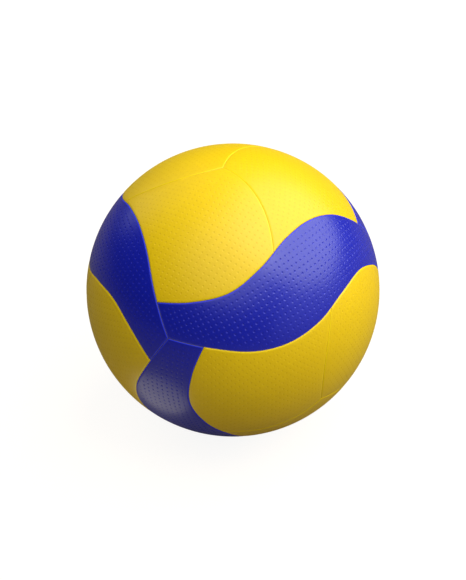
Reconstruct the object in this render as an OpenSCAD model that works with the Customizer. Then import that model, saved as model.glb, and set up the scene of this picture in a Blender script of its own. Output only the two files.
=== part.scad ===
// Volleyball of eighteen cover panels, bonded over foam, a rubber carcass, wound thread and a bladder.
// Six blue S-shaped bands and twelve yellow panels repeat by the twelve turns of a tetrahedron.
// The origin is the ball's centre, and +Z leaves through a corner where three yellow panels meet.
// The valve sits in the middle of a blue band, up and to the back, toward +Y and +Z.

/* [Ball] */
// Outside diameter of the inflated ball
ball_d = 210; // [195:1:225]

/* [Layers] */
// Thickness of the cover panels
cover_t = 1.4; // [1:0.1:2]
// Thickness of the foam under each cover panel
foam_t = 1.6; // [1:0.1:2.5]
// Thickness of the rubber carcass
carcass_t = 0.5; // [0.3:0.1:1]
// Thickness of the layer of wound thread
winding_t = 0.5; // [0.3:0.1:1]
// Thickness of the bladder's wall
bladder_t = 0.6; // [0.4:0.1:1.2]
// Thickness of the glue film between two layers, left empty
bond_t = 0.05; // [0.02:0.01:0.1]

/* [Panels] */
// Width of a blue band across its middle, along the surface
band_mid_w = 59.5; // [55:0.5:63]
// Gap between neighbouring panels
seam_gap = 0.3; // [0.2:0.1:0.8]
// Depth of the rounded shoulder along a panel's edge
shoulder_depth = 0.6; // [0.3:0.1:0.9]
// Width of the rounded shoulder along a panel's edge
shoulder_w = 1.1; // [0.6:0.1:1.8]
// Angle at which a yellow seam leaves its corner, from the line to the nearest band's middle
seam_lead = 12.5; // [9:0.5:16]
// Angle that a yellow seam swings back by on its way to the band's middle
seam_sweep = 29.5; // [22:0.5:36]

/* [Valve] */
// Diameter of the valve's rubber barrel
barrel_d = 7.6; // [6.4:0.2:9]
// Length of the barrel, from its outer face into the bladder
barrel_l = 15; // [13.5:0.5:18]
// Depth of the barrel's outer face below the cover
barrel_recess = 0.3; // [0.1:0.1:0.6]
// Play between the barrel and the holes that it passes through
barrel_play = 0.1; // [0.05:0.05:0.3]
// Diameter of the valve's flange inside the bladder
flange_d = 24; // [18:1:30]
// Thickness of the flange
flange_t = 1; // [0.6:0.1:1.6]
// Diameter of the reinforcing patch around the barrel, in an opening of the winding
patch_d = 26; // [20:1:34]
// Diameter of the self-closing core
core_d = 4.6; // [4:0.2:5.4]
// Length of the core
core_l = 11; // [9.5:0.5:12.5]
// Play between the core and its pocket
core_play = 0.05; // [0.02:0.01:0.1]
// Diameter of the needle's bore in the core
needle_d = 2.2; // [1.8:0.1:2.6]
// Depth of the needle's bore
needle_depth = 8; // [6:0.5:8.5]
// Diameter of the bore's flared mouth
mouth_d = 3.2; // [2.8:0.1:3.6]
// Diameter of the barrel's air passage behind the core
passage_d = 3; // [1.5:0.5:3.5]

/* [Hidden] */
$fn = 96;
// Turns that carry the first band to each of the six, and the first yellow panel to each of the twelve
BAND_COUNT = 6;
YELLOW_COUNT = 12;

// Radii of the layers, from the outside in
cover_r = ball_d / 2;
foam_r = cover_r - cover_t - bond_t;
carcass_r = foam_r - foam_t - bond_t;
winding_r = carcass_r - carcass_t - bond_t;
bladder_r = winding_r - winding_t - bond_t;
flange_r = bladder_r - bladder_t - bond_t;

// The panels' outlines are worked out on a unit sphere, in the frame of a cube.
// The bands' middles lie on its faces, and its corners are blue and yellow in turn.
ACROSS_UNIT = [-1, 1, 0] / sqrt(2);
ALONG_UNIT = [1, 1, 0] / sqrt(2);
OUT_UNIT = [0, 0, 1];
YELLOW_CORNER = [-1, 1, 1] / sqrt(3);
SIGNS = [[1, 1, 1], [1, -1, -1], [-1, 1, -1], [-1, -1, 1]];
// Angle from a band's middle to the corners at its ends
corner_angle = acos(1 / sqrt(3));
// Angle of half the band's width at its middle
half_angle = arc_angle(band_mid_w / 2);
// Height of a band's edge over its centre line, at even steps from end to end, in shares of half its width
edge_shares = [0.84, 0.56, 0.44, 0.66, 1, 1.13, 0.98, 0.54, 0];
// Steps along each stretch of an outline
blue_steps = 5;
side_steps = 20;
seam_steps = 16;
// Radius at which the cutting wedges end, in shares of the ball's radius
wedge_share = 1.3;
// Reach of a wedge's leaning walls, from the foot of the shoulder, in shares of the shoulder
lean_share = 1.25;
// The valve's band among the six
VALVE_BAND_INDEX = 3;
// Halvings in the search for a crossing
halving_steps = 30;
// Overrun of a cut past the surface that it opens
overrun = 1;

function arc_angle(length) = length / cover_r * 180 / PI;
function unit(v) = v / norm(v);

// Smooth curve through the values of a list, at place t counted in steps from its first value
function through(values, t) =
    let (last = len(values) - 1)
    let (i = min(max(floor(t), 0), last - 1))
    let (u = t - i)
    let (b = values[i])
    let (c = values[i + 1])
    let (a = i > 0 ? values[i - 1] : 2 * b - c)
    let (d = i + 1 < last ? values[i + 2] : 2 * c - b)
    b + u / 2 * (c - a + u * (2 * a - 5 * b + 4 * c - d + u * (3 * (b - c) + d - a)));

// Place between low and high where the rising function f crosses zero
function crossing(f, low, high, steps = halving_steps) =
    let (middle = (low + high) / 2)
    steps == 0 ? middle
    : f(middle) > 0 ? crossing(f, low, middle, steps - 1)
    : crossing(f, middle, high, steps - 1);

// Edge of the first band, where s runs from -1 at one end to 1 at the other
function edge_height(s) = half_angle * through(edge_shares, (s + 1) / 2 * (len(edge_shares) - 1));
function on_band(along, across) =
    cos(across) * (sin(along) * ALONG_UNIT + cos(along) * OUT_UNIT) + sin(across) * ACROSS_UNIT;
function edge_point(s) = on_band(s * corner_angle, edge_height(s));
function share_along(p) = atan2(p * ALONG_UNIT, p * OUT_UNIT) / corner_angle;
function over_edge(p) = asin(p * ACROSS_UNIT) - edge_height(share_along(p));

// Third of a turn about the yellow corner, and its inverse
function next_yellow(p) = [-p.y, p.z, -p.x];
function last_yellow(p) = [-p.z, -p.x, p.y];

// Yellow seam, at an angle from the yellow corner
TO_BAND = unit(OUT_UNIT - (OUT_UNIT * YELLOW_CORNER) * YELLOW_CORNER);
function seam_point(away) =
    let (heading = seam_lead - seam_sweep * away / corner_angle)
    cos(away) * YELLOW_CORNER
    + sin(away) * (cos(heading) * TO_BAND + sin(heading) * cross(YELLOW_CORNER, TO_BAND));

// Corner where a band's edge ends on its neighbour's, the same place on that neighbour, and the seam's end
corner_share = crossing(function (s) over_edge(next_yellow(edge_point(s))), -1.15, -0.8);
meeting_share = share_along(next_yellow(edge_point(corner_share)));
seam_end = crossing(function (away) -over_edge(seam_point(away)), corner_angle / 3, corner_angle);
seam_share = share_along(seam_point(seam_end));

// Points of a stretch without its last one
function stretch(f, from, to, steps) = [for (i = [0:steps - 1]) f(from + (to - from) * i / steps)];

half_band_outline = concat(
    stretch(function (s) edge_point(s), 1, meeting_share, blue_steps),
    stretch(function (s) edge_point(s), meeting_share, seam_share, side_steps),
    stretch(function (s) edge_point(s), seam_share, corner_share, side_steps),
    stretch(function (s) last_yellow(edge_point(s)), meeting_share, 1, blue_steps)
);
band_outline = concat(half_band_outline, [for (p = half_band_outline) [-p.x, -p.y, p.z]]);
yellow_outline = concat(
    stretch(function (away) seam_point(away), 0, seam_end, seam_steps),
    stretch(function (s) edge_point(s), seam_share, meeting_share, side_steps),
    stretch(function (s) next_yellow(edge_point(s)), corner_share, seam_share, side_steps),
    stretch(function (away) next_yellow(seam_point(away)), seam_end, 0, seam_steps)
);

// Outline moved inward by a length along the surface
function inset(outline, length) =
    let (n = len(outline))
    [for (i = [0:n - 1])
        let (p = outline[i])
        let (before = unit(cross(outline[(i + n - 1) % n], p)))
        let (after = unit(cross(p, outline[(i + 1) % n])))
        let (inward = unit(before + after))
        let (move = sin(arc_angle(length)) / (inward * after))
        sqrt(1 - move * move) * p + move * inward];

function ring(outline, radius) = [for (p = outline) radius * p];
function walls(n, low, high) =
    [for (i = [0:n - 1]) let (j = (i + 1) % n) each [
        [low + i, high + i, high + j],
        [low + i, high + j, low + j]
    ]];
// Lid across a ring, laid like the rungs of a ladder from its first point to its middle one
function lid(n, first) =
    concat(
        [[first, first + n - 1, first + 1]],
        [for (i = [1:n / 2 - 2]) each [
            [first + i, first + n - i, first + n - i - 1],
            [first + i, first + n - i - 1, first + i + 1]
        ]],
        [[first + n / 2 - 1, first + n / 2 + 1, first + n / 2]]
    );

// Wedge from the ball's centre that cuts a panel's outline with plain radial walls
module plain_wedge(outline) {
    n = len(outline);
    edge = inset(outline, seam_gap / 2);
    polyhedron(
        points = concat([[0, 0, 0]], ring(edge, wedge_share * cover_r)),
        faces = concat([for (i = [0:n - 1]) [0, 1 + i, 1 + (i + 1) % n]], lid(n, 1))
    );
}

// The same wedge, whose walls lean inward at the shoulder
module shouldered_wedge(outline) {
    n = len(outline);
    edge = inset(outline, seam_gap / 2);
    crown = inset(outline, seam_gap / 2 + lean_share * shoulder_w);
    polyhedron(
        points = concat(
            [[0, 0, 0]],
            ring(edge, cover_r - shoulder_depth),
            ring(crown, cover_r - shoulder_depth + lean_share * shoulder_depth),
            ring(crown, wedge_share * cover_r)
        ),
        faces = concat(
            [for (i = [0:n - 1]) [0, 1 + i, 1 + (i + 1) % n]],
            walls(n, 1, 1 + n),
            walls(n, 1 + n, 1 + 2 * n),
            lid(n, 1 + 2 * n)
        )
    );
}

// Hollow sphere whose poles and seam line keep clear of the first band and the first yellow panel
module layer(outer_r, thickness) {
    rotate([90, 0, 45])
        difference() {
            sphere(r = outer_r);
            sphere(r = outer_r - thickness);
        }
}

// Places the first band or yellow panel at one of the twelve turns, and stands the cube on a blue corner
module turned(i) {
    signs = SIGNS[floor(i / 3)];
    shift = i % 3;
    upright = [[1, -1, 0] / sqrt(2), [-1, -1, -2] / sqrt(6), [1, 1, -1] / sqrt(3)];
    turn = [for (row = [0:2]) [for (column = [0:2]) (row - column + 3) % 3 == shift ? signs[column] : 0]];
    placed = upright * turn;
    multmatrix([for (row = placed) concat(row, [0])]) children();
}

// Hole through every layer that the valve's barrel passes
module barrel_hole() {
    cylinder(d = barrel_d + 2 * barrel_play, h = cover_r + overrun);
}

module bladder() {
    color("dimgray") turned(VALVE_BAND_INDEX) difference() {
        layer(bladder_r, bladder_t);
        barrel_hole();
    }
}

module thread_winding() {
    color("wheat") turned(VALVE_BAND_INDEX) difference() {
        layer(winding_r, winding_t);
        cylinder(d = patch_d + 2 * barrel_play, h = cover_r + overrun);
    }
}

module rubber_carcass() {
    color("darkgray") turned(VALVE_BAND_INDEX) difference() {
        layer(carcass_r, carcass_t);
        barrel_hole();
    }
}

// Reinforcing disc around the barrel, level with the winding
module valve_patch() {
    color("saddlebrown") turned(VALVE_BAND_INDEX) difference() {
        intersection() {
            layer(winding_r, winding_t);
            cylinder(d = patch_d, h = cover_r);
        }
        barrel_hole();
    }
}

// Rubber barrel with a curved flange under the bladder, a pocket for the core and an air passage
module valve_body() {
    face = cover_r - barrel_recess;
    color("black") turned(VALVE_BAND_INDEX) difference() {
        union() {
            translate([0, 0, face - barrel_l]) cylinder(d = barrel_d, h = barrel_l);
            intersection() {
                layer(flange_r, flange_t);
                cylinder(d = flange_d, h = cover_r);
            }
        }
        translate([0, 0, face - core_l - core_play])
            cylinder(d = core_d + 2 * core_play, h = core_l + core_play + overrun);
        translate([0, 0, face - barrel_l - overrun])
            cylinder(d = passage_d, h = barrel_l + overrun);
    }
}

// Self-closing core with the needle's blind bore and its flared mouth
module valve_core() {
    face = cover_r - barrel_recess;
    flare = (mouth_d - needle_d) / 2;
    color("darkslategray") turned(VALVE_BAND_INDEX) difference() {
        translate([0, 0, face - core_l]) cylinder(d = core_d, h = core_l);
        translate([0, 0, face - needle_depth]) cylinder(d = needle_d, h = needle_depth + overrun);
        translate([0, 0, face - flare]) cylinder(d1 = needle_d, d2 = mouth_d, h = flare);
    }
}

module blue_panel(i) {
    color("mediumblue") turned(i) difference() {
        intersection() {
            layer(cover_r, cover_t);
            shouldered_wedge(band_outline);
        }
        if (i == VALVE_BAND_INDEX) barrel_hole();
    }
}

module yellow_panel(i) {
    color("gold") turned(i) intersection() {
        layer(cover_r, cover_t);
        shouldered_wedge(yellow_outline);
    }
}

module blue_foam(i) {
    color("whitesmoke") turned(i) difference() {
        intersection() {
            layer(foam_r, foam_t);
            plain_wedge(band_outline);
        }
        if (i == VALVE_BAND_INDEX) barrel_hole();
    }
}

module yellow_foam(i) {
    color("whitesmoke") turned(i) intersection() {
        layer(foam_r, foam_t);
        plain_wedge(yellow_outline);
    }
}

bladder();
valve_body();
valve_core();
valve_patch();
thread_winding();
rubber_carcass();
for (i = [1:BAND_COUNT]) {
    blue_foam(i - 1);
    blue_panel(i - 1);
}
for (i = [1:YELLOW_COUNT]) {
    yellow_foam(i - 1);
    yellow_panel(i - 1);
}
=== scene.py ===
# Volleyball: eighteen dimpled cover panels and a valve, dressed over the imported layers.
# Outlines are worked out in the frame of a cube, then turned upright. Its faces carry the bands' middles.
import math
import bpy
import numpy as np
from mathutils import Matrix, Vector
from mathutils.geometry import delaunay_2d_cdt


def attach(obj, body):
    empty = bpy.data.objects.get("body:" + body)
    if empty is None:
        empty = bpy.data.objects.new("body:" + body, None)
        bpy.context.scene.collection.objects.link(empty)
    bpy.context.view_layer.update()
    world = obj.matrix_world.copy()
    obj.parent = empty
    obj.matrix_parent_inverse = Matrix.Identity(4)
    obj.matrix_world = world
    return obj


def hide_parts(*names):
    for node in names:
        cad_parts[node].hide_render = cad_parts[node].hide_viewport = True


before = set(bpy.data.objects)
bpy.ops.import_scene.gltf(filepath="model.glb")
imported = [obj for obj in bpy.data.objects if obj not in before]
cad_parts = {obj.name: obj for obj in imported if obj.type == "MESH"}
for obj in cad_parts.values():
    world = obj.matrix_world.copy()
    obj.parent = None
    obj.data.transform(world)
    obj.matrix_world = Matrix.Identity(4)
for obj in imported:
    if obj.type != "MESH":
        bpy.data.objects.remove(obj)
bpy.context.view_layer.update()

MM = 0.001

# Sizes of the ball, as in the CAD model
BALL_R = 105 * MM
COVER_T = 1.4 * MM
BAND_MID_W = 59.5 * MM
SEAM_LEAD = math.radians(12.5)
SEAM_SWEEP = math.radians(29.5)
EDGE_SHARES = np.array([0.84, 0.56, 0.44, 0.66, 1, 1.13, 0.98, 0.54, 0])
VALVE_BAND = 3
BARREL_R = 3.8 * MM
BARREL_L = 15 * MM
BARREL_FACE = BALL_R - 0.3 * MM
HOLE_R = BARREL_R + 0.1 * MM
FLANGE_R = 12 * MM
FLANGE_OUT = 100.15 * MM
FLANGE_T = 1 * MM
PASSAGE_R = 1.5 * MM
CORE_R = 2.3 * MM
CORE_L = 11 * MM
CORE_PLAY = 0.05 * MM
NEEDLE_R = 1.1 * MM
NEEDLE_DEPTH = 8 * MM
MOUTH_R = 1.6 * MM

# Where the searches along the outlines look, and how often they halve
CORNER_SEARCH = (-1.15, -0.8)
HALVINGS = 40

# Form of a panel's surface: seams, shoulders and pillow, and the lip round the valve's hole
CROWN_R = BALL_R - 0.02 * MM
SEAM_GAP = 0.05 * MM
SHOULDER_DEPTH = 0.36 * MM
SHOULDER_W = 1.1 * MM
SHOULDER_POWER = 1.5
PILLOW_DEPTH = 0.1 * MM
PILLOW_W = 6 * MM
LIP_W = 0.7 * MM
LIP_DEPTH = 0.4 * MM

# Points of a panel's mesh
EDGE_STEP = 0.9 * MM
ROUGH_POINTS = 60
SHOULDER_RINGS = [0.035, 0.13, 0.28, 0.47, 0.71, 1, 1.35]
RING_SLACK = 0.97  # least share of a ring's distance to the edge that its points keep
HOLE_STEPS = 64
LAND_CLEARANCE = 0.5 * MM
LAND_HOLE_CLEARANCE = 2 * MM
BACK_STEP = 6 * MM
BACK_REACH = 18
BACK_CLEARANCE = 3 * MM
BACK_HOLE_R = 2 * HOLE_R

# Dimples: radius and depth by the panel's colour, and rings of points as shares of the radius
DIMPLES = {"blue": (0.95 * MM, 0.28 * MM), "yellow": (0.9 * MM, 0.165 * MM)}
DIMPLE_RINGS = [(0.38, 6), (0.68, 10), (0.96, 12), (1.14, 12)]
DIMPLE_KEEP_OFF = 2.3 * MM
DIMPLE_FADE = 4 * MM
DIMPLE_LEAST = 0.35

# Rows of dimples: pitch, bend over the panel, first seed, and the turn on each panel in degrees
BAND_PITCH = 3.93 * MM
BAND_BEND = 12.5 + 17j
BAND_SEED = 40
BAND_TURNS = [0.5, 7.5, 4.5, 5.5, 3.0, 6.5]
YELLOW_PITCH = 3.8 * MM
YELLOW_BEND = 0.95 - 1.05j
YELLOW_SEED = 80
YELLOW_TURNS = [16.5, 15.3, 15.2, 17.0, 14.5, 18.0, 16.0, 15.0, 20.5, 17.5, 18.5, 14.0]
ROW_REACH = 34  # rows to each side of the middle
ROWS_R = 115 * MM
BEND_ROUNDS = 8  # rounds of the search for a place in the bent rows
AHEAD_SHARE = 0.1  # share of the pitch

# Valve: steps round its axis, rounded corners, and the groove and rim of the barrel's face in mm
BARREL_STEPS = 72
CORE_STEPS = 64
FLANGE_STEPS = 8
SHARP_ANGLE = math.radians(40)
POCKET_ROUND = (0.25 * MM, 0.08 * MM)
FOOT_ROUND = (0.4 * MM, 0.12 * MM)
CORE_ROUND = (0.25 * MM, 0.07 * MM)
CORE_FOOT_CHAMFER = 0.2 * MM
BARREL_RIM_DROP = 0.4 * MM
FLANGE_RIM_W = 0.4 * MM
FLANGE_RIM_DROP = 0.35 * MM
FACE_PROFILE = [
    (2.85, 0), (2.95, 0.12), (3.05, 0.16), (3.15, 0.12), (3.25, 0),
    (3.45, 0), (3.65, 0.07), (3.77, 0.2),
]

# Cover material: widths of the matt rim, which carries a painted light, and of the raw cut edge, sizes of its
# grains, and its relief
RIM_W = 0.9 * MM
RAW_W = 0.26 * MM
FINE_GRAIN = 0.3 * MM
SPOT_GRAIN = 1.6 * MM
BROAD_GRAIN = 28 * MM
COVER_RELIEF = 0.009 * MM

# Layers out of sight
SMUDGE_GRAIN = 9 * MM
THREAD_PITCH = 0.7 * MM
THREAD_TURNS = [(20, 0, 15), (75, 30, 0), (0, 65, 50), (120, 10, 80)]
WEAVE_PITCH = 0.9 * MM
WEAVE_TURNS = [(0, 0, 40), (0, 90, 40)]

# Camera, from the photograph's outline and seams
CAMERA_DISTANCE = 866 * MM
CAMERA_OUT = Vector((0.3490, -0.6995, 0.6236))
CAMERA_UP = Vector((-0.2078, 0.5911, 0.7794))
IMAGE_H = 580
FOCAL_PX = 1200.8

# Floor, walls and lamps
FLOOR_SIZE = 200
FLOOR_TONE = (0.2, 0.17, 0.12)
FLOOR_GLOW = 0.9
FLOOR_GLOW_SPAN = (0.5, 1.2)
GLOSSY_SHARE = 0.02
WALL_LEVEL = 0.075
GLOSSY_WALL_LEVEL = WALL_LEVEL / 4
LAMP_DISTANCE = 2.0
LOW_CARD_RISE = 2 * MM
LOW_CARD_TINT = (1, 0.93, 0.76)

# Directions in the frame of the cube, and the turn that sets it upright
ALONG = np.array([1, 1, 0]) / math.sqrt(2)
ACROSS = np.array([-1, 1, 0]) / math.sqrt(2)
OUT = np.array([0, 0, 1.0])
YELLOW_CORNER = np.array([-1, 1, 1]) / math.sqrt(3)
CORNER_ANGLE = math.acos(1 / math.sqrt(3))
HALF_ANGLE = BAND_MID_W / 2 / BALL_R
SIGNS = [(1, 1, 1), (1, -1, -1), (-1, 1, -1), (-1, -1, 1)]
UPRIGHT = np.array([
    np.array([1, -1, 0]) / math.sqrt(2),
    np.array([-1, -1, -2]) / math.sqrt(6),
    np.array([1, 1, -1]) / math.sqrt(3),
])


def unit(v):
    """Vectors at length 1."""
    return v / np.linalg.norm(v, axis=-1, keepdims=True)


def placing(i):
    """Rotation that takes the first band or yellow panel to place i of the twelve, upright."""
    turn = np.zeros((3, 3))
    for row in range(3):
        for column in range(3):
            if (row - column - i) % 3 == 0:
                turn[row, column] = SIGNS[i // 3][column]
    return UPRIGHT @ turn


# Outlines of the first band and the first yellow panel, as unit vectors
def through(values, t):
    """Smooth curve through even values, at places from 0 to the last one's number."""
    last = len(values) - 1
    i = np.clip(np.floor(t), 0, last - 1).astype(int)
    u = t - i
    b, c = values[i], values[i + 1]
    a = np.where(i > 0, values[np.maximum(i - 1, 0)], 2 * b - c)
    d = np.where(i + 1 < last, values[np.minimum(i + 2, last)], 2 * c - b)
    return b + u / 2 * (c - a + u * (2 * a - 5 * b + 4 * c - d + u * (3 * (b - c) + d - a)))


def edge_height(s):
    """Angle from a band's middle line to its edge, at a share of the way to its corner."""
    return HALF_ANGLE * through(EDGE_SHARES, (s + 1) / 2 * (len(EDGE_SHARES) - 1))


def edge_point(s):
    """Point of a band's edge, at a share of the way to its corner."""
    s = np.asarray(s, float)
    along, across = (s * CORNER_ANGLE)[..., None], edge_height(s)[..., None]
    return np.cos(across) * (np.sin(along) * ALONG + np.cos(along) * OUT) + np.sin(across) * ACROSS


def share_along(p):
    """Share of the way along the band at which a point lies."""
    return np.arctan2(p @ ALONG, p @ OUT) / CORNER_ANGLE


def over_edge(p):
    """Angle by which a point lies beyond the band's edge."""
    return np.arcsin(p @ ACROSS) - edge_height(share_along(p))


def next_yellow(p):
    """Point turned by a third about the yellow corner, to the next panel there."""
    return np.stack([-p[..., 1], p[..., 2], -p[..., 0]], -1)


def last_yellow(p):
    """Point turned by a third about the yellow corner, the other way."""
    return np.stack([-p[..., 2], -p[..., 0], p[..., 1]], -1)


TO_BAND = unit(OUT - (OUT @ YELLOW_CORNER) * YELLOW_CORNER)
BESIDE_BAND = np.cross(YELLOW_CORNER, TO_BAND)


def seam_point(away):
    """Point of the seam between two yellow panels, at an angle away from their corner."""
    away = np.asarray(away, float)[..., None]
    heading = SEAM_LEAD - SEAM_SWEEP * away / CORNER_ANGLE
    sideways = np.cos(heading) * TO_BAND + np.sin(heading) * BESIDE_BAND
    return np.cos(away) * YELLOW_CORNER + np.sin(away) * sideways


def crossing(f, low, high):
    """Place where f rises through zero."""
    for _ in range(HALVINGS):
        middle = (low + high) / 2
        low, high = (low, middle) if f(middle) > 0 else (middle, high)
    return (low + high) / 2


CORNER_SHARE = crossing(lambda s: over_edge(next_yellow(edge_point(s))), *CORNER_SEARCH)
MEETING_SHARE = share_along(next_yellow(edge_point(CORNER_SHARE)))
SEAM_END = crossing(lambda away: -over_edge(seam_point(away)), CORNER_ANGLE / 3, CORNER_ANGLE)
SEAM_SHARE = share_along(seam_point(SEAM_END))


def stretch(f, start, end):
    """Points of a stretch at even steps, without its last one."""
    rough = f(np.linspace(start, end, ROUGH_POINTS))
    length = np.linalg.norm(np.diff(rough, axis=0), axis=1).sum() * BALL_R
    return f(np.linspace(start, end, math.ceil(length / EDGE_STEP) + 1)[:-1])


def band_outline():
    half = np.vstack([
        stretch(edge_point, 1, MEETING_SHARE),
        stretch(edge_point, MEETING_SHARE, SEAM_SHARE),
        stretch(edge_point, SEAM_SHARE, CORNER_SHARE),
        stretch(lambda s: last_yellow(edge_point(s)), MEETING_SHARE, 1),
    ])
    return np.vstack([half, half * [-1, -1, 1]])


def yellow_outline():
    return np.vstack([
        stretch(seam_point, 0, SEAM_END),
        stretch(edge_point, SEAM_SHARE, MEETING_SHARE),
        stretch(lambda s: next_yellow(edge_point(s)), CORNER_SHARE, SEAM_SHARE),
        stretch(lambda away: next_yellow(seam_point(away)), SEAM_END, 0),
    ])


# Charts of the sphere: complex numbers in metres
class Chart:
    """Round chart about a centre, which keeps angles."""

    def __init__(self, centre, right):
        self.centre, self.right = centre, right
        self.up = np.cross(centre, right)

    def flat(self, p):
        return (p @ self.right + 1j * (p @ self.up)) * 2 * BALL_R / (1 + p @ self.centre)

    def round(self, z):
        k = (np.abs(z) / 2 / BALL_R) ** 2
        across = z.real[:, None] * self.right + z.imag[:, None] * self.up
        return ((1 - k)[:, None] * self.centre + across / BALL_R) / (1 + k)[:, None]

    def stretch(self, z):
        return 1 + (np.abs(z) / 2 / BALL_R) ** 2


def band_round(w):
    """Point of the sphere for a place on the unrolled strip along the first band."""
    along, across = w.real / BALL_R, np.arctan(np.sinh(w.imag / BALL_R))
    middle = np.sin(along)[:, None] * ALONG + np.cos(along)[:, None] * OUT
    return np.cos(across)[:, None] * middle + np.sin(across)[:, None] * ACROSS


def edge_distance(loop, z):
    """Distance from points to a closed line, in the chart: a coarse search, then the sides near its find."""
    skip, window, block = 4, 8, 4000
    n = len(loop)
    coarse = np.arange(0, n, skip)
    nearest = np.empty(len(z), int)
    for first in range(0, len(z), block):
        part = slice(first, first + block)
        nearest[part] = coarse[np.abs(z[part, None] - loop[coarse]).argmin(1)]
    best = np.full(len(z), np.inf)
    for shift in range(-window, window):
        a = loop[(nearest + shift) % n]
        side = loop[(nearest + shift + 1) % n] - a
        t = np.clip(((z - a) * side.conj()).real / np.abs(side) ** 2, 0, 1)
        best = np.minimum(best, np.abs(z - a - t * side))
    return best


def is_inside(loop, z):
    """Whether points lie inside a closed line, by the sides that a ray from each one crosses."""
    a, b = loop, np.roll(loop, -1)
    spans = (a.imag > z.imag[:, None]) != (b.imag > z.imag[:, None])
    rise = np.where(b.imag == a.imag, 1, b.imag - a.imag)
    x = a.real + (z.imag[:, None] - a.imag) * (b.real - a.real) / rise
    return (spans & (z.real[:, None] < x)).sum(1) % 2 == 1


def moved_in(loop, lengths):
    """The line moved inward, to its left, by a length at each point, up to a limit at sharp corners."""
    mitre_limit = 0.3
    before = loop - np.roll(loop, 1)
    after = np.roll(loop, -1) - loop
    before, after = 1j * before / np.abs(before), 1j * after / np.abs(after)
    inward = (before + after) / np.abs(before + after)
    return loop + inward * lengths / np.maximum((inward * after.conj()).real, mitre_limit)


def smooth(t):
    """Smooth step from 0 to 1."""
    t = np.clip(t, 0, 1)
    return t * t * (3 - 2 * t)


def rounding(distance, width, depth):
    """Drop of a rounded edge, at a distance from it."""
    t = np.clip(1 - distance / width, 0, 1)
    return depth * (1 - np.sqrt(1 - t * t))


def edge_drop(distance):
    """Drop of a panel's face towards its edge: a slight pillow and a round shoulder."""
    pillow = PILLOW_DEPTH * np.clip(1 - distance / PILLOW_W, 0, 1) ** 2
    return pillow + SHOULDER_DEPTH * np.clip(1 - distance / SHOULDER_W, 0, 1) ** SHOULDER_POWER


def lattice(kind, i):
    """On the sphere: dimple centres, points just ahead of them in their rows, and points between the rows."""
    turn, bend, pitch, shift, whole = LATTICES[kind](i)
    steps = np.arange(-ROW_REACH, ROW_REACH + 1)
    grid = (steps[None, :] + 1j * steps[:, None]).ravel()
    goal = (grid + shift) * pitch
    goal = np.concatenate([goal, goal + (0.5 + 0.5j) * pitch])
    z = goal * np.exp(1j * turn)
    for _ in range(BEND_ROUNDS):
        value, slope = bend(z)
        value, slope = value * np.exp(-1j * turn), slope * np.exp(-1j * turn)
        z = z - (value - goal) / slope
    near = np.abs(z) < ROWS_R
    half = len(z) // 2
    centres, beside = z[:half][near[:half]], z[half:][near[half:]]
    slope = bend(centres)[1] * np.exp(-1j * turn)
    ahead = centres + AHEAD_SHARE * pitch / slope
    return whole(centres), whole(ahead), whole(beside)


BAND_CHART = Chart(OUT, ALONG)
YELLOW_MIDDLE = unit(yellow_outline().mean(0))
YELLOW_RIGHT = np.array([-0.43112, -0.69077, 0.58049])
YELLOW_RIGHT = unit(YELLOW_RIGHT - (YELLOW_RIGHT @ YELLOW_MIDDLE) * YELLOW_MIDDLE)
YELLOW_CHART = Chart(YELLOW_MIDDLE, YELLOW_RIGHT)


def row_shift(seed):
    """Seeded shift of the rows, below one pitch each way."""
    rng = np.random.default_rng(seed)
    return rng.random() + 1j * rng.random()


def band_bend(w):
    """Place in the straight rows of a place on a band, and its slope."""
    return w + BAND_BEND * w ** 3 / 3, 1 + BAND_BEND * w ** 2


def yellow_bend(w):
    """Place in the straight rows of a place on a yellow panel, and its slope."""
    return w + YELLOW_BEND * w ** 2 / 2, 1 + YELLOW_BEND * w


def band_lattice(i):
    return math.radians(BAND_TURNS[i]), band_bend, BAND_PITCH, row_shift(BAND_SEED + i), band_round


def yellow_lattice(i):
    turn = math.radians(YELLOW_TURNS[i])
    return turn, yellow_bend, YELLOW_PITCH, row_shift(YELLOW_SEED + i), YELLOW_CHART.round


LATTICES = {"blue": band_lattice, "yellow": yellow_lattice}
CHARTS = {"blue": BAND_CHART, "yellow": YELLOW_CHART}
OUTLINES = {"blue": band_outline(), "yellow": yellow_outline()}


def triangulate(z, loops):
    """Triangles over flat points inside closed loops of point numbers: first the rim, then any holes."""
    merge_distance, sliver = 1e-6, 1e-14
    edges = []
    for loop in loops:
        edges += [(loop[i], loop[(i + 1) % len(loop)]) for i in range(len(loop))]
    scaled = z / MM
    points = [Vector((a, b)) for a, b in zip(scaled.real.tolist(), scaled.imag.tolist())]
    found = delaunay_2d_cdt(points, edges, [], 0, merge_distance, False)
    if len(found[0]) != len(z):
        raise RuntimeError("points of a panel fell together")
    faces = np.array(found[2])
    corners = z[faces]
    twice_area = ((corners[:, 1] - corners[:, 0]).conj() * (corners[:, 2] - corners[:, 0])).imag
    faces[twice_area < 0] = faces[twice_area < 0][:, ::-1]
    faces = faces[np.abs(twice_area) > sliver]
    for number, loop in enumerate(loops):
        on_loop = np.zeros(len(z), bool)
        on_loop[loop] = True
        doubtful = on_loop[faces].all(1)
        inside = is_inside(z[loop], z[faces[doubtful]].mean(1))
        drop = np.zeros(len(faces), bool)
        drop[np.flatnonzero(doubtful)[~inside if number == 0 else inside]] = True
        faces = faces[~drop]
    return faces


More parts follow.
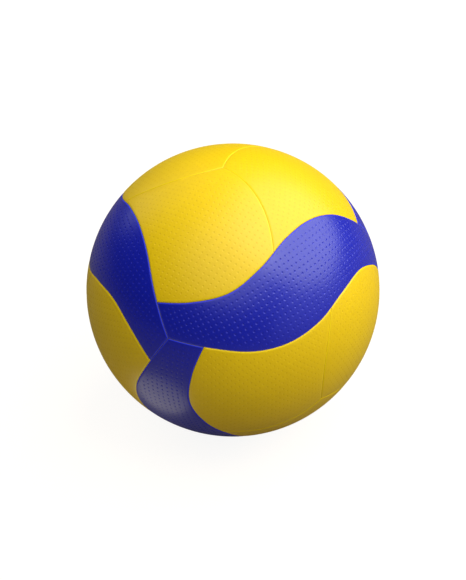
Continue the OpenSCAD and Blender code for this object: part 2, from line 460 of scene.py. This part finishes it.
def new_mesh(name, points, faces, attributes):
    """Mesh object from points and triangles or quads, smooth all over."""
    mesh = bpy.data.meshes.new(name)
    sizes = np.concatenate([np.full(len(f), f.shape[1]) for f in faces])
    corners = np.concatenate([f.ravel() for f in faces]).astype(np.int32)
    mesh.vertices.add(len(points))
    mesh.vertices.foreach_set("co", points.astype(np.float32).ravel())
    mesh.loops.add(len(corners))
    mesh.loops.foreach_set("vertex_index", corners)
    mesh.polygons.add(len(sizes))
    mesh.polygons.foreach_set("loop_start", np.concatenate([[0], np.cumsum(sizes)[:-1]]).astype(np.int32))
    mesh.polygons.foreach_set("use_smooth", np.ones(len(sizes), bool))
    for key, values in attributes.items():
        mesh.attributes.new(key, "FLOAT", "POINT").data.foreach_set("value", values.astype(np.float32))
    mesh.update(calc_edges=True)
    mesh.validate()
    obj = bpy.data.objects.new(name, mesh)
    bpy.context.scene.collection.objects.link(obj)
    return obj


def panel(kind, i):
    """One cover panel: dimpled face, rounded shoulders, side walls and a plain back."""
    chart = CHARTS[kind]
    dimple_r, dimple_depth = DIMPLES[kind]
    outline = chart.flat(OUTLINES[kind])
    if (outline.conj() * np.roll(outline, -1)).imag.sum() < 0:
        outline = outline[::-1]
    has_hole = kind == "blue" and i == VALVE_BAND
    rim = moved_in(outline, SEAM_GAP / 2 * chart.stretch(outline))
    parts, pits = [], []

    def add(points, pit=0.0):
        parts.append(points)
        pits.append(np.full(len(points), pit))

    # Edges, and the rings of points that round them
    add(rim)
    loops = [np.arange(len(rim))]
    if has_hole:
        around = np.exp(2j * np.pi * np.arange(HOLE_STEPS) / HOLE_STEPS)
        loops.append(len(rim) + np.arange(HOLE_STEPS))
        add(HOLE_R * around)
        for share in SHOULDER_RINGS:
            add((HOLE_R + share * LIP_W) * around)
    for share in SHOULDER_RINGS:
        ring = moved_in(outline, (SEAM_GAP / 2 + share * SHOULDER_W) * chart.stretch(outline))
        far = edge_distance(rim, ring) / chart.stretch(ring)
        add(ring[is_inside(rim, ring) & (far > RING_SLACK * share * SHOULDER_W)])
    # Dimples, shallower beside the edges
    centres, ahead, beside = lattice(kind, i)
    flat = chart.flat(centres)
    far = edge_distance(rim, flat) / chart.stretch(flat)
    if has_hole:
        far = np.minimum(far, np.abs(flat) - HOLE_R)
    keep = is_inside(rim, flat) & (far > DIMPLE_KEEP_OFF)
    centres, ahead, far = centres[keep], ahead[keep], far[keep]
    strength = DIMPLE_LEAST + (1 - DIMPLE_LEAST) * smooth((far - DIMPLE_KEEP_OFF) / DIMPLE_FADE)
    add(chart.flat(centres), strength)
    forward = unit(ahead - (ahead * centres).sum(1, keepdims=True) * centres)
    sideways = np.cross(centres, forward)
    for share, count in DIMPLE_RINGS:
        reach = share * dimple_r / BALL_R
        for k in range(count):
            angle = 2 * math.pi * (k + 0.5) / count
            way = math.cos(angle) * forward + math.sin(angle) * sideways
            place_on_ring = chart.flat(math.cos(reach) * centres + math.sin(reach) * way)
            add(place_on_ring, strength * max(1 - share * share, 0) ** 2)
    # Flat land between the dimples
    land = chart.flat(beside)
    far = edge_distance(rim, land) / chart.stretch(land)
    clear = far > SHOULDER_RINGS[-1] * SHOULDER_W + LAND_CLEARANCE
    if has_hole:
        clear &= np.abs(land) > HOLE_R + LAND_HOLE_CLEARANCE
    add(land[is_inside(rim, land) & clear])
    # Height of every point
    z, pit = np.concatenate(parts), np.concatenate(pits)
    far = edge_distance(rim, z) / chart.stretch(z)
    far[loops[0]] = 0
    radius = CROWN_R - edge_drop(far) - dimple_depth * pit
    if has_hole:
        from_hole = np.maximum(np.abs(z) - HOLE_R, 0)
        radius -= rounding(from_hole, LIP_W, LIP_DEPTH)
        far = np.minimum(far, from_hole)
    face = triangulate(z, loops)
    outer = chart.round(z) * radius[:, None]
    # Back of the panel, over the same rim
    spacing = np.arange(-BACK_REACH, BACK_REACH + 1) * BACK_STEP
    plain = (spacing[None, :] + 1j * spacing[:, None]).ravel()
    plain = plain[is_inside(rim, plain)]
    plain = plain[edge_distance(rim, plain) > BACK_CLEARANCE]
    if has_hole:
        plain = plain[np.abs(plain) > BACK_HOLE_R]
    rims = np.concatenate([z[loop] for loop in loops])
    back_z = np.concatenate([rims, plain])
    starts = np.cumsum([0] + [len(loop) for loop in loops])
    back_loops = [np.arange(starts[k], starts[k + 1]) for k in range(len(loops))]
    back_face = triangulate(back_z, back_loops)
    inner = chart.round(back_z) * (BALL_R - COVER_T)
    # Walls between face and back
    walls = []
    for number, loop in enumerate(loops):
        low = len(outer) + back_loops[number]
        quads = np.stack([loop, low, np.roll(low, -1), np.roll(loop, -1)], 1)
        walls.append(quads if number == 0 else quads[:, ::-1])
    points = np.vstack([outer, inner]) @ placing(i).T
    faces = [face, back_face[:, ::-1] + len(outer)] + walls
    # Each point keeps its distance to an edge and its share of a dimple's depth
    zero = np.zeros(len(inner))
    made = new_mesh(f"{kind}_cover_{i + 1}", points, faces,
                    {"edge": np.concatenate([far, zero]), "pit": np.concatenate([pit, zero])})
    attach(made, "root")
    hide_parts(f"{kind}_panel_{i + 1}")
    return made


covers = {
    "blue": [panel("blue", i) for i in range(len(BAND_TURNS))],
    "yellow": [panel("yellow", i) for i in range(len(YELLOW_TURNS))],
}


# Valve
VALVE_FRAME = placing(VALVE_BAND) @ np.column_stack([ALONG, ACROSS, OUT])


def turned_piece(name, profile, steps, node):
    """Solid of revolution about the valve's axis, from a closed profile of (radius, height) points."""
    profile = np.array(profile)
    rings, index = [], []
    total = 0
    for radius, height in profile:
        count = 1 if radius == 0 else steps
        angles = 2 * np.pi * np.arange(count) / count
        level = np.full(count, height)
        rings.append(np.stack([radius * np.cos(angles), radius * np.sin(angles), level], 1))
        index.append(total + (np.arange(steps) if count == steps else np.zeros(steps, int)))
        total += count
    points = np.vstack(rings) @ VALVE_FRAME.T
    quads, triangles = [], []
    for a in range(len(profile)):
        b = (a + 1) % len(profile)
        low, high = index[a], index[b]
        if profile[a][0] == 0 and profile[b][0] == 0:
            continue
        if profile[a][0] == 0:
            triangles.append(np.stack([low, np.roll(high, -1), high], 1))
        elif profile[b][0] == 0:
            triangles.append(np.stack([low, np.roll(low, -1), high], 1))
        else:
            quads.append(np.stack([low, np.roll(low, -1), np.roll(high, -1), high], 1))
    faces = [np.vstack(group) for group in (quads, triangles) if group]
    made = new_mesh(name, points, faces, {})
    made.data.set_sharp_from_angle(angle=SHARP_ANGLE)
    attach(made, "root")
    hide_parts(node)
    return made


def cap_height(sphere_r, radius):
    """Height of a sphere over a place at a distance from the valve's axis."""
    return math.sqrt(sphere_r ** 2 - radius ** 2)


def rounded(radius, height, lengths, outward, upward):
    """Rounded corner between a wall, at the radius, and an end face, at the height.

    outward is 1 where the end face lies outside the wall, else -1. upward is 1 for a top face, else -1.
    """
    size, middle = lengths
    return [
        (radius, height - upward * size),
        (radius + outward * middle, height - upward * middle),
        (radius + outward * size, height),
    ]


def valve_body():
    face, foot = BARREL_FACE, BARREL_FACE - BARREL_L
    pocket = CORE_R + CORE_PLAY
    floor = face - CORE_L - CORE_PLAY
    inner = FLANGE_OUT - FLANGE_T
    profile = rounded(pocket, face, POCKET_ROUND, 1, 1)
    for radius, drop in FACE_PROFILE:
        profile.append((radius * MM, face - drop * MM))
    profile.append((BARREL_R, face - BARREL_RIM_DROP))
    for radius in np.linspace(BARREL_R, FLANGE_R - FLANGE_RIM_W, FLANGE_STEPS):
        profile.append((radius, cap_height(FLANGE_OUT, radius)))
    profile.append((FLANGE_R, cap_height(FLANGE_OUT, FLANGE_R) - FLANGE_RIM_DROP))
    profile.append((FLANGE_R, cap_height(inner, FLANGE_R) + FLANGE_RIM_DROP))
    for radius in np.linspace(FLANGE_R - FLANGE_RIM_W, BARREL_R, FLANGE_STEPS):
        profile.append((radius, cap_height(inner, radius)))
    profile += rounded(BARREL_R, foot, FOOT_ROUND, -1, -1)
    profile += [(PASSAGE_R, foot), (PASSAGE_R, floor), (pocket, floor)]
    return turned_piece("valve_barrel", profile[::-1], BARREL_STEPS, "valve_body")


def valve_core():
    face, foot = BARREL_FACE, BARREL_FACE - CORE_L
    profile = [(0, foot), (CORE_R - CORE_FOOT_CHAMFER, foot), (CORE_R, foot + CORE_FOOT_CHAMFER)]
    profile += rounded(CORE_R, face, CORE_ROUND, -1, 1)
    # Funnel that leads the needle in
    profile += [(MOUTH_R + 0.12 * MM, face), (MOUTH_R, face - 0.04 * MM)]
    profile += [(MOUTH_R - 0.3 * MM, face - 0.22 * MM), (NEEDLE_R, face - 0.5 * MM)]
    profile += [(NEEDLE_R, face - NEEDLE_DEPTH), (0, face - NEEDLE_DEPTH)]
    return turned_piece("valve_core_insert", profile, CORE_STEPS, "valve_core")


barrel = valve_body()
core = valve_core()


# Materials
def node(tree, kind, **values):
    """New node, with inputs and settings by name."""
    made = tree.nodes.new(kind)
    for key, value in values.items():
        if key in made.inputs:
            made.inputs[key].default_value = value
        else:
            setattr(made, key, value)
    return made


def maths(tree, operation, *values):
    """Math node's result, from sockets and numbers."""
    made = node(tree, "ShaderNodeMath", operation=operation)
    for socket, value in zip(made.inputs, values):
        if isinstance(value, (int, float)):
            socket.default_value = value
        else:
            tree.links.new(value, socket)
    return made.outputs[0]


def ramp(tree, value, span, ends):
    """Smooth change from one end value to the other, over a span of the value."""
    made = node(tree, "ShaderNodeMapRange", interpolation_type="SMOOTHSTEP")
    tree.links.new(value, made.inputs["Value"])
    for name, number in zip(("From Min", "From Max", "To Min", "To Max"), (*span, *ends)):
        made.inputs[name].default_value = number
    return made.outputs["Result"]


def mixed(tree, share, first, second):
    """Colour between two, each a socket or plain numbers."""
    made = node(tree, "ShaderNodeMix", data_type="RGBA")
    sockets = [s for s in made.inputs if s.identifier in ("A_Color", "B_Color")]
    for socket, value in zip(sockets, (first, second)):
        if isinstance(value, tuple):
            socket.default_value = (*value, 1)
        else:
            tree.links.new(value, socket)
    tree.links.new(share, [s for s in made.inputs if s.identifier == "Factor_Float"][0])
    return [s for s in made.outputs if s.identifier == "Result_Color"][0]


def place(tree, turn=None):
    """Place on the piece, in metres, turned about the axes by degrees."""
    made = node(tree, "ShaderNodeTexCoord").outputs["Object"]
    if turn:
        turned = node(tree, "ShaderNodeMapping", Rotation=[math.radians(angle) for angle in turn])
        tree.links.new(made, turned.inputs["Vector"])
        made = turned.outputs["Vector"]
    return made


def grain(tree, size, detail=2):
    """Noise from 0 to 1, its spots about a size in metres."""
    made = node(tree, "ShaderNodeTexNoise", Scale=0.5 / size, Detail=detail)
    tree.links.new(place(tree), made.inputs["Vector"])
    return ramp(tree, made.outputs["Fac"], (0.25, 0.75), (0, 1))


def threads(tree, pitch, turn, wander):
    """Parallel rounded threads, from 0 between them to 1 on top."""
    wave_length_at_one = math.pi / 10
    made = node(tree, "ShaderNodeTexWave", Scale=wave_length_at_one / pitch, Distortion=wander, Detail=1)
    made.inputs["Detail Scale"].default_value = 0.2
    tree.links.new(place(tree, turn), made.inputs["Vector"])
    return made.outputs["Fac"]


def relief(tree, shader, height, depth):
    """Fine relief from a height of 0 to 1, over a depth in metres."""
    made = node(tree, "ShaderNodeBump", Strength=1, Distance=depth)
    tree.links.new(height, made.inputs["Height"])
    tree.links.new(made.outputs["Normal"], shader.inputs["Normal"])


def material(name, nodes, specular=0.5):
    """Material with what a function of its tree and shader adds."""
    made = bpy.data.materials.new(name)
    made.use_nodes = True
    shader = made.node_tree.nodes["Principled BSDF"]
    shader.inputs["Specular IOR Level"].default_value = specular
    nodes(made.node_tree, shader)
    return made


def attribute(tree, name):
    """Value that the mesh keeps at each point."""
    return node(tree, "ShaderNodeAttribute", attribute_name=name).outputs["Fac"]


def cover(body, deep, pit_shade, lit_rim, raw, roughness, pit_rise, rim_roughness):
    """Dimpled coated microfibre, with a matt rim along the seams in a lighter colour that is painted light,
    painted shade in the dimples, and a raw cut edge.
    """
    def nodes(tree, shader):
        edge, pit = attribute(tree, "edge"), attribute(tree, "pit")
        fine, spots, broad = grain(tree, FINE_GRAIN), grain(tree, SPOT_GRAIN), grain(tree, BROAD_GRAIN)
        # Rim along the seams: it makes the surface matt, and it carries the painted light below
        rim = ramp(tree, edge, (RIM_W * 0.7, RIM_W * 1.2), (1, 0))
        uneven = maths(tree, "MULTIPLY_ADD", spots, 0.4, maths(tree, "MULTIPLY", broad, 0.4))
        colour = mixed(tree, uneven, body, deep)
        # Painted shade in the dimples: their bottoms take a darker yellow on the yellow panels and a deeper
        # blue on the blue ones
        colour = mixed(tree, ramp(tree, pit, (0, 0.3), (0, 1)), colour, pit_shade)
        # Painted light: a lighter, more saturated colour along every seam, standing in for the lit shoulders
        colour = mixed(tree, maths(tree, "MULTIPLY", rim, 0.9), colour, lit_rim)
        colour = mixed(tree, ramp(tree, edge, (RAW_W * 0.4, RAW_W), (1, 0)), colour, raw)
        tree.links.new(colour, shader.inputs["Base Color"])
        matt = maths(tree, "MULTIPLY_ADD", fine, 0.05, roughness - 0.05)
        matt = maths(tree, "MULTIPLY_ADD", broad, 0.04, matt)
        matt = maths(tree, "MULTIPLY_ADD", pit, pit_rise, matt)
        matt = maths(tree, "MAXIMUM", matt, maths(tree, "MULTIPLY", rim, rim_roughness))
        tree.links.new(matt, shader.inputs["Roughness"])
        relief(tree, shader, maths(tree, "MULTIPLY_ADD", spots, 0.6, fine), COVER_RELIEF)
    return nodes


def worked(light, dark, roughness, height, depth):
    """Layer out of sight: colour, roughness and relief all follow one pattern."""
    def nodes(tree, shader):
        pattern = height(tree)
        spots = grain(tree, SMUDGE_GRAIN)
        # Colour is darker where the pattern is low: on grains a tone that varies at random, and between
        # threads and yarns painted shade
        colour = mixed(tree, pattern, dark, mixed(tree, spots, light, dark))
        tree.links.new(colour, shader.inputs["Base Color"])
        matt = ramp(tree, pattern, (0, 1), (min(roughness + 0.15, 1), roughness))
        tree.links.new(matt, shader.inputs["Roughness"])
        relief(tree, shader, pattern, depth)
    return nodes


def wound(tree):
    """Threads laid over each other in four directions."""
    layers = [threads(tree, THREAD_PITCH, turn, 1.5) for turn in THREAD_TURNS]
    top = layers[0]
    for step, layer in enumerate(layers[1:]):
        over = ramp(tree, grain(tree, (6 + 2 * step) * MM), (0.4, 0.6), (0.3, 1))
        # Threads lower down take the darker colour as well: painted shade under the upper threads
        below = maths(tree, "MULTIPLY", top, 0.85)
        top = maths(tree, "MAXIMUM", below, maths(tree, "MULTIPLY", layer, over))
    return top


def woven(tree):
    """Cloth of warp and weft."""
    return maths(tree, "MAXIMUM", *[threads(tree, WEAVE_PITCH, turn, 0.3) for turn in WEAVE_TURNS])


BLUE = material("cover_blue", cover(
    body=(0.003, 0.011, 0.455),
    deep=(0.002, 0.008, 0.4),
    pit_shade=(0.001, 0.008, 0.46),
    lit_rim=(0.001, 0.022, 0.82),
    raw=(0.11, 0.085, 0.05),
    roughness=0.33,
    pit_rise=0.25,
    rim_roughness=0.62,
), 0.8)
YELLOW = material("cover_yellow", cover(
    body=(0.955, 0.652, 0.001),
    deep=(0.88, 0.58, 0.001),
    pit_shade=(0.88, 0.585, 0.001),
    lit_rim=(1, 0.75, 0.0005),
    raw=(0.8, 0.46, 0.002),
    roughness=0.4,
    pit_rise=0.15,
    rim_roughness=0.45,
), 0.48)
RUBBER = material("rubber_black", worked(
    (0.024, 0.024, 0.026), (0.015, 0.015, 0.017), 0.5, lambda tree: grain(tree, 0.25 * MM, 4), 0.02 * MM))
CORE_RUBBER = material("rubber_grey", worked(
    (0.068, 0.068, 0.074), (0.05, 0.05, 0.056), 0.5, lambda tree: grain(tree, 0.2 * MM, 4), 0.015 * MM))
FOAM = material("foam_white", worked(
    (0.86, 0.85, 0.81), (0.72, 0.7, 0.64), 0.85, lambda tree: grain(tree, 0.4 * MM, 5), 0.15 * MM), 0.3)
CARCASS = material("carcass_rubber", worked(
    (0.31, 0.31, 0.32), (0.25, 0.25, 0.26), 0.7, lambda tree: grain(tree, 0.6 * MM, 4), 0.05 * MM), 0.4)
THREAD = material("wound_thread", worked((0.84, 0.76, 0.6), (0.5, 0.42, 0.3), 0.8, wound, 0.3 * MM), 0.3)
PATCH = material("patch_cloth", worked((0.46, 0.27, 0.14), (0.26, 0.14, 0.07), 0.85, woven, 0.2 * MM), 0.3)
BLADDER = material("bladder_rubber", worked(
    (0.05, 0.05, 0.053), (0.03, 0.03, 0.032), 0.45, lambda tree: grain(tree, 0.5 * MM, 3), 0.02 * MM))

for kind, finish in (("blue", BLUE), ("yellow", YELLOW)):
    for piece in covers[kind]:
        piece.data.materials.append(finish)
barrel.data.materials.append(RUBBER)
core.data.materials.append(CORE_RUBBER)
INNER = {"bladder": BLADDER, "valve_patch": PATCH, "thread_winding": THREAD, "rubber_carcass": CARCASS}
for name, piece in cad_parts.items():
    finish = FOAM if "foam" in name else INNER.get(name)
    if finish:
        for slot in piece.material_slots:
            slot.material = finish

# Camera
camera = bpy.data.objects.new("camera", bpy.data.cameras.new("camera"))
bpy.context.scene.collection.objects.link(camera)
back = CAMERA_OUT.normalized()
up = (CAMERA_UP - CAMERA_UP.dot(back) * back).normalized()
right = up.cross(back)
camera_turn = Matrix((right, up, back)).transposed().to_4x4()
camera.matrix_world = Matrix.Translation(CAMERA_DISTANCE * back) @ camera_turn
camera.data.sensor_fit = "VERTICAL"
camera.data.lens = camera.data.sensor_height * FOCAL_PX / IMAGE_H
camera.data.clip_start = 0.01
bpy.context.scene.camera = camera


# Floor and light
def white_share(tree):
    """1 for the camera's rays and those through glass, and a small share for glossy ones."""
    path = node(tree, "ShaderNodeLightPath")
    plain = maths(tree, "MAXIMUM", path.outputs["Is Camera Ray"], path.outputs["Is Transmission Ray"])
    return maths(tree, "MULTIPLY_ADD", path.outputs["Is Glossy Ray"], GLOSSY_SHARE, plain)


def floor_nodes(tree, shader):
    """White to the camera, but for a share near the ball that keeps its shadow."""
    away = node(tree, "ShaderNodeVectorMath", operation="LENGTH")
    tree.links.new(place(tree), away.inputs[0])
    white = ramp(tree, away.outputs["Value"], FLOOR_GLOW_SPAN, (FLOOR_GLOW, 1))
    glow = node(tree, "ShaderNodeEmission")
    tree.links.new(maths(tree, "MULTIPLY", white_share(tree), white), glow.inputs["Strength"])
    both = node(tree, "ShaderNodeAddShader")
    tree.links.new(shader.outputs[0], both.inputs[0])
    tree.links.new(glow.outputs[0], both.inputs[1])
    tree.links.new(both.outputs[0], tree.nodes["Material Output"].inputs["Surface"])
    shader.inputs["Base Color"].default_value = (*FLOOR_TONE, 1)
    shader.inputs["Roughness"].default_value = 0.9


bpy.ops.mesh.primitive_plane_add(size=FLOOR_SIZE, location=(0, 0, -BALL_R))
floor = bpy.context.object
floor.name = "floor"
floor.data.materials.append(material("floor_pale", floor_nodes, 0))


def lamp(name, way, spread, radiance, distance=LAMP_DISTANCE, facing=None, colour=(1, 1, 1)):
    """Round soft lamp in a direction from the ball. Its spread is half its width from there, in degrees."""
    light = bpy.data.lights.new(name, "AREA")
    light.color = colour
    light.shape = "DISK"
    light.size = 2 * distance * math.tan(math.radians(spread))
    light.energy = radiance * math.pi * math.pi * light.size ** 2 / 4
    made = bpy.data.objects.new(name, light)
    made.location = distance * way
    made.rotation_euler = (facing or way).to_track_quat("Z", "Y").to_euler()
    made.visible_camera = False
    bpy.context.scene.collection.objects.link(made)
    return made


def from_camera(across, upward, toward):
    """Direction given to the camera's right, up and back."""
    return (across * right + upward * up + toward * back).normalized()


# Lamps: direction, half width in degrees, and radiance
lamp("key", from_camera(0.607, 0.673, 0.422), 38.3, 2.6)
fill = lamp("left_fill", from_camera(-0.5, 0.83, -0.2), 25, 0.95)
fill.visible_glossy = False
lamp("left_card", from_camera(-0.68, 0.6, -0.28), 11, 0.7)
lamp("front", from_camera(-0.024, 0.395, 0.919), 33, 1.15)
lamp("right", from_camera(0.85, -0.3, 0.35), 33, 0.4)

# Card that lies just over the floor and shines upward, hence its distance
low = from_camera(-1.1, -1.49, 0.17)
to_card = (LOW_CARD_RISE - BALL_R) / low.z
lamp("low_card", low, 16, 0.85, to_card, Vector((0, 0, -1)), LOW_CARD_TINT)

world = bpy.context.scene.world or bpy.data.worlds.new("world")
bpy.context.scene.world = world
world.use_nodes = True
sky = world.node_tree
glossy = node(sky, "ShaderNodeLightPath").outputs["Is Glossy Ray"]
walls = ramp(sky, glossy, (0, 1), (WALL_LEVEL, GLOSSY_WALL_LEVEL))
sky.links.new(maths(sky, "MAXIMUM", white_share(sky), walls), sky.nodes["Background"].inputs["Strength"])
sky.nodes["Background"].inputs["Color"].default_value = (1, 1, 1, 1)

bpy.context.scene.view_settings.view_transform = "Standard"
